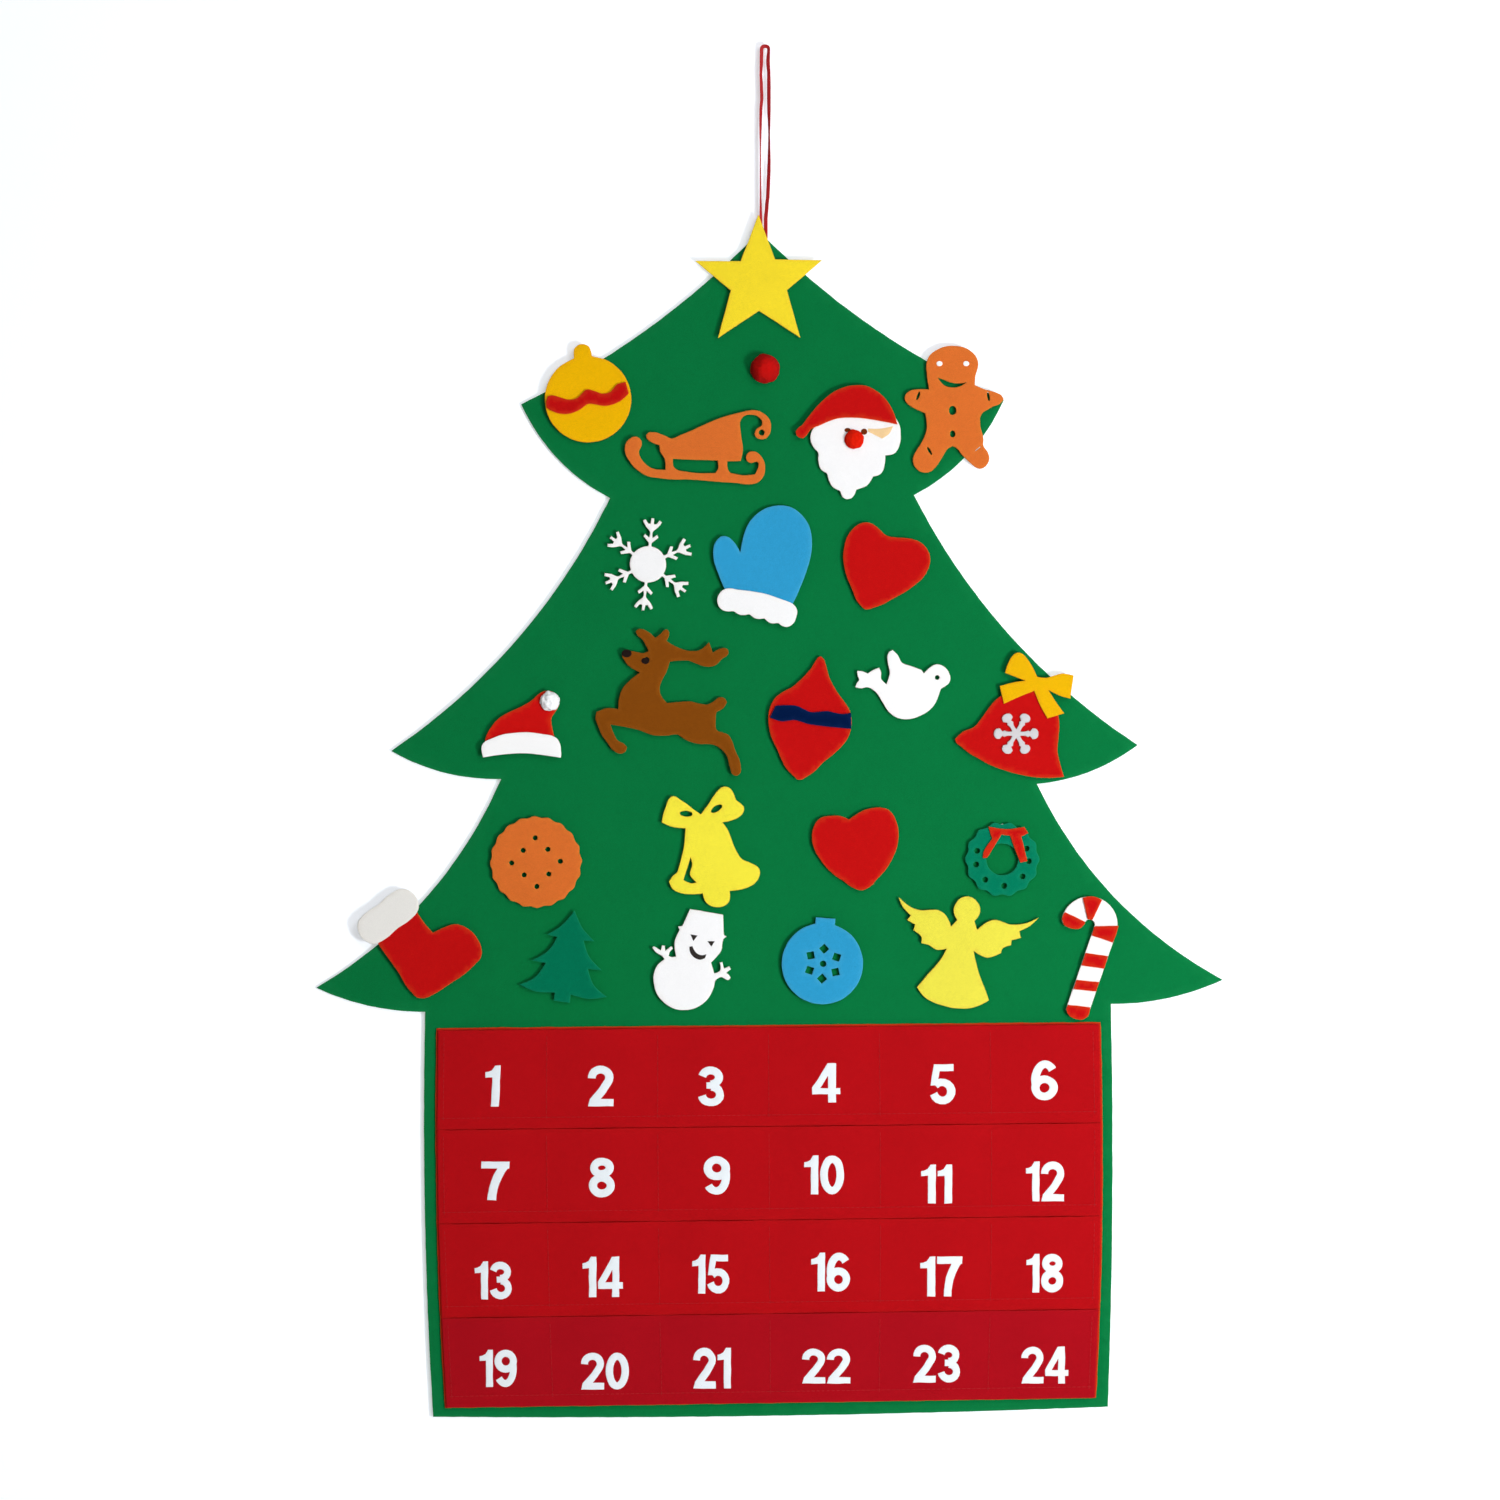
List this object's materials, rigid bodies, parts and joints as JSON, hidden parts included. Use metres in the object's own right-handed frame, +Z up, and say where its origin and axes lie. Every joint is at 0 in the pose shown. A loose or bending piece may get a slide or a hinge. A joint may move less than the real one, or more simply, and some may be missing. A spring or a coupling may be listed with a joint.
{
  "type": "felt advent calendar",
  "caption": "Wall-hung felt fir tree with rows of small open pockets at its foot, felt ornaments stuck on above them and a ribbon loop at its tip.",
  "frame": {"origin": "top of the ribbon loop, where the nail bears, midway through the ribbon", "axes": "+Z up; +X to the right, seen from the front; the front faces -Y and the wall is on the +Y side"},
  "size_m": [0.726, 0.0188, 1.0977],
  "materials": {
    "green_felt": "matte needle felt",
    "red_felt": "matte needle felt",
    "white_felt": "matte needle felt",
    "yellow_felt": "matte needle felt",
    "amber_felt": "matte needle felt",
    "pale_yellow_felt": "matte needle felt",
    "brown_felt": "matte needle felt",
    "dark_brown_felt": "matte needle felt",
    "blue_felt": "matte needle felt",
    "navy_felt": "matte needle felt",
    "teal_felt": "matte needle felt",
    "satin_ribbon": "smooth satin weave"
  },
  "bodies": {
    "calendar": {"tree_panel": "green_felt", "pocket_backing": "red_felt", "pocket_row_1": "red_felt", "pocket_row_2": "red_felt", "pocket_row_3": "red_felt", "pocket_row_4": "red_felt", "hanging_loop": "satin_ribbon"},
    "star": {"star": "yellow_felt"},
    "red_ball": {"red_ball": "red_felt"},
    "yellow_bauble": {"yellow_bauble": "amber_felt", "yellow_bauble_band": "red_felt"},
    "sleigh": {"sleigh": "brown_felt"},
    "santa": {"santa_beard": "white_felt", "santa_hat": "red_felt", "santa_nose": "red_felt"},
    "gingerbread": {"gingerbread": "brown_felt"},
    "snowflake": {"snowflake": "white_felt"},
    "mitten": {"mitten": "blue_felt", "mitten_cuff": "white_felt"},
    "heart_upper": {"heart_upper": "red_felt"},
    "hat": {"hat_crown": "red_felt", "hat_brim": "white_felt", "hat_pompom": "white_felt"},
    "reindeer": {"reindeer": "dark_brown_felt"},
    "drop_bauble": {"drop_bauble": "red_felt", "drop_band": "navy_felt"},
    "dove": {"dove": "white_felt"},
    "red_bell": {"red_bell": "red_felt", "red_bell_bow": "amber_felt", "red_bell_snowflake": "white_felt"},
    "cookie": {"cookie": "brown_felt"},
    "yellow_bell": {"yellow_bell": "yellow_felt"},
    "heart_lower": {"heart_lower": "red_felt"},
    "wreath": {"wreath": "teal_felt", "wreath_bow": "red_felt"},
    "stocking": {"stocking": "red_felt", "stocking_cuff": "white_felt"},
    "small_tree": {"small_tree": "teal_felt"},
    "snowman": {"snowman": "white_felt"},
    "blue_bauble": {"blue_bauble": "blue_felt"},
    "angel": {"angel": "pale_yellow_felt"},
    "candy_cane": {"candy_cane": "white_felt", "candy_stripe_1": "red_felt", "candy_stripe_2": "red_felt", "candy_stripe_3": "red_felt", "candy_stripe_4": "red_felt", "candy_stripe_5": "red_felt", "candy_stripe_6": "red_felt"}
  },
  "joints": [
    {"name": "star_peel", "type": "slide", "parent": "calendar", "child": "star", "axis": [0, -1, 0], "range_m": [0, 0.1]},
    {"name": "red_ball_peel", "type": "slide", "parent": "calendar", "child": "red_ball", "axis": [0, -1, 0], "range_m": [0, 0.1]},
    {"name": "yellow_bauble_peel", "type": "slide", "parent": "calendar", "child": "yellow_bauble", "axis": [0, -1, 0], "range_m": [0, 0.1]},
    {"name": "sleigh_peel", "type": "slide", "parent": "calendar", "child": "sleigh", "axis": [0, -1, 0], "range_m": [0, 0.1]},
    {"name": "santa_peel", "type": "slide", "parent": "calendar", "child": "santa", "axis": [0, -1, 0], "range_m": [0, 0.1]},
    {"name": "gingerbread_peel", "type": "slide", "parent": "calendar", "child": "gingerbread", "axis": [0, -1, 0], "range_m": [0, 0.1]},
    {"name": "snowflake_peel", "type": "slide", "parent": "calendar", "child": "snowflake", "axis": [0, -1, 0], "range_m": [0, 0.1]},
    {"name": "mitten_peel", "type": "slide", "parent": "calendar", "child": "mitten", "axis": [0, -1, 0], "range_m": [0, 0.1]},
    {"name": "heart_upper_peel", "type": "slide", "parent": "calendar", "child": "heart_upper", "axis": [0, -1, 0], "range_m": [0, 0.1]},
    {"name": "hat_peel", "type": "slide", "parent": "calendar", "child": "hat", "axis": [0, -1, 0], "range_m": [0, 0.1]},
    {"name": "reindeer_peel", "type": "slide", "parent": "calendar", "child": "reindeer", "axis": [0, -1, 0], "range_m": [0, 0.1]},
    {"name": "drop_bauble_peel", "type": "slide", "parent": "calendar", "child": "drop_bauble", "axis": [0, -1, 0], "range_m": [0, 0.1]},
    {"name": "dove_peel", "type": "slide", "parent": "calendar", "child": "dove", "axis": [0, -1, 0], "range_m": [0, 0.1]},
    {"name": "red_bell_peel", "type": "slide", "parent": "calendar", "child": "red_bell", "axis": [0, -1, 0], "range_m": [0, 0.1]},
    {"name": "cookie_peel", "type": "slide", "parent": "calendar", "child": "cookie", "axis": [0, -1, 0], "range_m": [0, 0.1]},
    {"name": "yellow_bell_peel", "type": "slide", "parent": "calendar", "child": "yellow_bell", "axis": [0, -1, 0], "range_m": [0, 0.1]},
    {"name": "heart_lower_peel", "type": "slide", "parent": "calendar", "child": "heart_lower", "axis": [0, -1, 0], "range_m": [0, 0.1]},
    {"name": "wreath_peel", "type": "slide", "parent": "calendar", "child": "wreath", "axis": [0, -1, 0], "range_m": [0, 0.1]},
    {"name": "stocking_peel", "type": "slide", "parent": "calendar", "child": "stocking", "axis": [0, -1, 0], "range_m": [0, 0.1]},
    {"name": "small_tree_peel", "type": "slide", "parent": "calendar", "child": "small_tree", "axis": [0, -1, 0], "range_m": [0, 0.1]},
    {"name": "snowman_peel", "type": "slide", "parent": "calendar", "child": "snowman", "axis": [0, -1, 0], "range_m": [0, 0.1]},
    {"name": "blue_bauble_peel", "type": "slide", "parent": "calendar", "child": "blue_bauble", "axis": [0, -1, 0], "range_m": [0, 0.1]},
    {"name": "angel_peel", "type": "slide", "parent": "calendar", "child": "angel", "axis": [0, -1, 0], "range_m": [0, 0.1]},
    {"name": "candy_cane_peel", "type": "slide", "parent": "calendar", "child": "candy_cane", "axis": [0, -1, 0], "range_m": [0, 0.1]}
  ]
}
